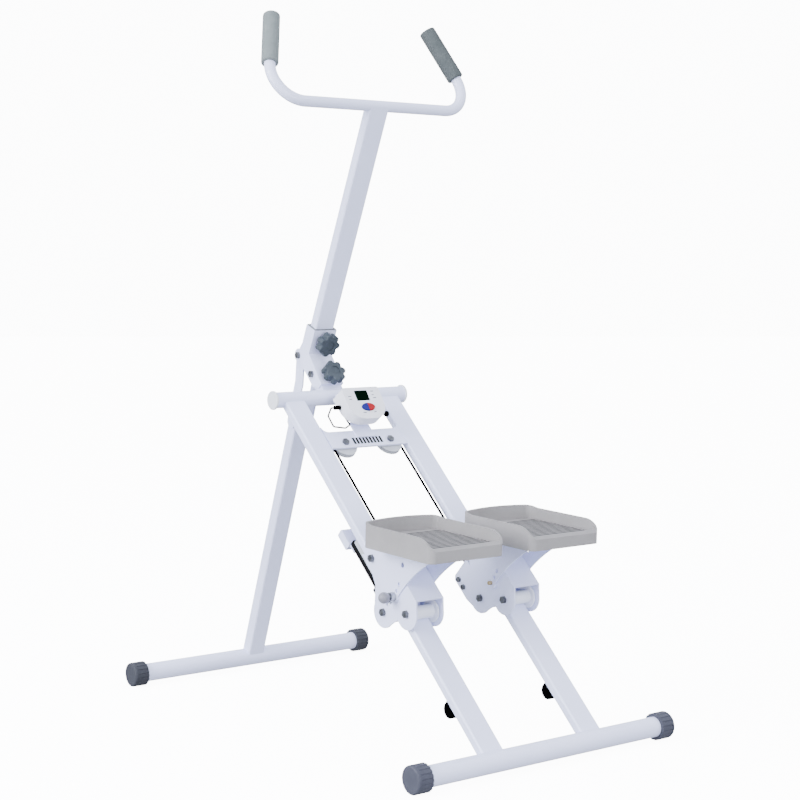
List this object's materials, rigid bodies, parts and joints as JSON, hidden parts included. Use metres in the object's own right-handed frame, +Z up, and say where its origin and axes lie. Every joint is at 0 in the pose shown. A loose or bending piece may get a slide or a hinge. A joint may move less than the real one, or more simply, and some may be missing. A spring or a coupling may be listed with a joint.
{
  "type": "folding climbing stepper",
  "caption": "Folding stepper with pedals that climb and fall on slanted rails, joined by a cable over pulleys, with a handlebar on a leaning post.",
  "frame": {"origin": "on the floor, in the middle of the footprint", "axes": "+Z up, +X across the machine to the user's right, -Y towards the user"},
  "size_m": [0.61, 1.023, 1.3813],
  "materials": {
    "white_frame": "white powder coat, satin gloss",
    "dark_cap": "ribbed moulded plastic, matte",
    "white_plug": "moulded, satin",
    "grey_pedal": "moulded, fine texture",
    "black_rubber": "matte rubber",
    "black_plastic": "moulded, matte",
    "knob_grey": "moulded, matte",
    "foam_grip": "closed cell foam, matte",
    "nylon": "moulded nylon, satin",
    "grey_nylon": "moulded nylon, satin",
    "zinc": "zinc plated",
    "console_white": "moulded, satin gloss",
    "display": "smooth clear window over a dark display",
    "blue_button": "moulded, gloss",
    "red_button": "moulded, gloss"
  },
  "bodies": {
    "frame": {"front_foot_tube": "white_frame", "front_foot_caps": "dark_cap", "left_rail": "white_frame", "right_rail": "white_frame", "top_cross_tube": "white_frame", "cross_tube_caps": "white_plug", "cross_plate": "white_frame", "neck_bracket": "white_frame", "lower_stops": "black_rubber", "pulley_bolts": "zinc", "console_bracket": "white_frame", "console_case": "console_white", "console_back": "console_white", "console_lens": "display", "console_jack": "black_plastic", "console_lead": "black_rubber", "lead_grommet": "black_rubber", "cable_bridge": "black_rubber", "left_cable": "black_rubber", "right_cable": "black_rubber"},
    "left_console_button": {"left_button": "blue_button"},
    "right_console_button": {"right_button": "red_button"},
    "upright": {"upright_bracket": "white_frame", "post_bush": "white_plug", "hinge_bolts": "zinc"},
    "post_clamp_knob": {"post_knob": "knob_grey"},
    "fold_clamp_knob": {"fold_knob": "knob_grey"},
    "handlebar": {"handlebar_post": "white_frame", "handlebar_tube": "white_frame", "handlebar_grips": "foam_grip"},
    "leg": {"rear_leg": "white_frame", "leg_ears": "white_frame", "rear_foot_tube": "white_frame", "rear_foot_caps": "dark_cap"},
    "left_cable_pulley": {"left_pulley": "grey_nylon"},
    "right_cable_pulley": {"right_pulley": "grey_nylon"},
    "left_step": {"left_carriage": "white_frame", "left_carriage_bolts": "zinc", "left_guide_pads": "grey_nylon", "left_brake_bar": "black_plastic", "left_brake_box": "white_frame", "left_cable_clamp": "black_plastic"},
    "left_upper_wheel": {"left_front_roller": "nylon"},
    "left_lower_wheel": {"left_rear_roller": "nylon"},
    "left_foot": {"left_pedal": "grey_pedal", "left_pedal_bracket": "white_frame"},
    "left_pin": {"left_lock_pin": "zinc", "left_pin_knob": "knob_grey"},
    "right_step": {"right_carriage": "white_frame", "right_carriage_bolts": "zinc", "right_guide_pads": "grey_nylon", "right_brake_bar": "black_plastic", "right_brake_box": "white_frame", "right_cable_clamp": "black_plastic"},
    "right_upper_wheel": {"right_front_roller": "nylon"},
    "right_lower_wheel": {"right_rear_roller": "nylon"},
    "right_foot": {"right_pedal": "grey_pedal", "right_pedal_bracket": "white_frame"},
    "right_pin": {"right_lock_pin": "zinc", "right_pin_knob": "knob_grey"}
  },
  "joints": [
    {"name": "upright_fold", "type": "hinge", "parent": "frame", "child": "upright", "pos_m": [0, 0.207, 0.668], "axis": [-1, 0, 0], "range_deg": [0, 35]},
    {"name": "leg_fold", "type": "hinge", "parent": "upright", "child": "leg", "pos_m": [0, 0.256, 0.705], "axis": [-1, 0, 0], "range_deg": [0, 25]},
    {"name": "post_height", "type": "slide", "parent": "upright", "child": "handlebar", "axis": [0, -0.4019, 0.9157], "range_m": [0, 0.025]},
    {"name": "post_knob_turn", "type": "hinge", "parent": "upright", "child": "post_clamp_knob", "pos_m": [0, 0.19189, 0.73023], "axis": [0, -0.9157, -0.4019], "continuous": true},
    {"name": "fold_knob_turn", "type": "hinge", "parent": "upright", "child": "fold_clamp_knob", "pos_m": [0, 0.17097, 0.66945], "axis": [0, -0.809, 0.5878], "continuous": true},
    {"name": "left_button_press", "type": "slide", "parent": "frame", "child": "left_console_button", "axis": [0, 0.8181, -0.575], "range_m": [0, 0.002], "stiffness_N_per_m": 400},
    {"name": "right_button_press", "type": "slide", "parent": "frame", "child": "right_console_button", "axis": [0, 0.8181, -0.575], "range_m": [0, 0.002], "stiffness_N_per_m": 400},
    {"name": "left_step_slide", "type": "slide", "parent": "frame", "child": "left_step", "axis": [0, 0.729, 0.6845], "range_m": [-0.16, 0.16], "deforming": ["left_cable"]},
    {"name": "left_upper_wheel_turn", "type": "hinge", "parent": "left_step", "child": "left_upper_wheel", "pos_m": [-0.117, -0.27216, 0.25649], "axis": [1, 0, 0], "continuous": true},
    {"name": "left_lower_wheel_turn", "type": "hinge", "parent": "left_step", "child": "left_lower_wheel", "pos_m": [-0.117, -0.20235, 0.24934], "axis": [1, 0, 0], "continuous": true},
    {"name": "left_foot_tilt", "type": "hinge", "parent": "left_step", "child": "left_foot", "pos_m": [-0.117, -0.1717, 0.34671], "axis": [1, 0, 0], "range_deg": [0, 18.8]},
    {"name": "left_pin_pull", "type": "slide", "parent": "left_foot", "child": "left_pin", "axis": [-1, 0, 0], "range_m": [0, 0.006], "stiffness_N_per_m": 900},
    {"name": "left_pulley_turn", "type": "hinge", "parent": "frame", "child": "left_cable_pulley", "pos_m": [-0.0555, 0.05558, 0.5327], "axis": [0, -0.6845, 0.729], "continuous": true},
    {"name": "right_step_slide", "type": "slide", "parent": "frame", "child": "right_step", "axis": [0, 0.729, 0.6845], "range_m": [-0.16, 0.16], "deforming": ["right_cable"]},
    {"name": "right_upper_wheel_turn", "type": "hinge", "parent": "right_step", "child": "right_upper_wheel", "pos_m": [0.117, -0.27216, 0.25649], "axis": [1, 0, 0], "continuous": true},
    {"name": "right_lower_wheel_turn", "type": "hinge", "parent": "right_step", "child": "right_lower_wheel", "pos_m": [0.117, -0.20235, 0.24934], "axis": [1, 0, 0], "continuous": true},
    {"name": "right_foot_tilt", "type": "hinge", "parent": "right_step", "child": "right_foot", "pos_m": [0.117, -0.1717, 0.34671], "axis": [1, 0, 0], "range_deg": [0, 18.8]},
    {"name": "right_pin_pull", "type": "slide", "parent": "right_foot", "child": "right_pin", "axis": [1, 0, 0], "range_m": [0, 0.006], "stiffness_N_per_m": 900},
    {"name": "right_pulley_turn", "type": "hinge", "parent": "frame", "child": "right_cable_pulley", "pos_m": [0.0555, 0.05558, 0.5327], "axis": [0, -0.6845, 0.729], "continuous": true}
  ],
  "couplings": [
    {"joint": "left_upper_wheel_turn", "follows": "left_step_slide", "rad_per_m": -78.74},
    {"joint": "left_lower_wheel_turn", "follows": "left_step_slide", "rad_per_m": 46.083},
    {"joint": "left_pulley_turn", "follows": "left_step_slide", "rad_per_m": -38.462},
    {"joint": "right_step_slide", "follows": "left_step_slide", "ratio": -1},
    {"joint": "right_upper_wheel_turn", "follows": "left_step_slide", "rad_per_m": 78.74},
    {"joint": "right_lower_wheel_turn", "follows": "left_step_slide", "rad_per_m": -46.083},
    {"joint": "right_pulley_turn", "follows": "left_step_slide", "rad_per_m": -38.462}
  ]
}
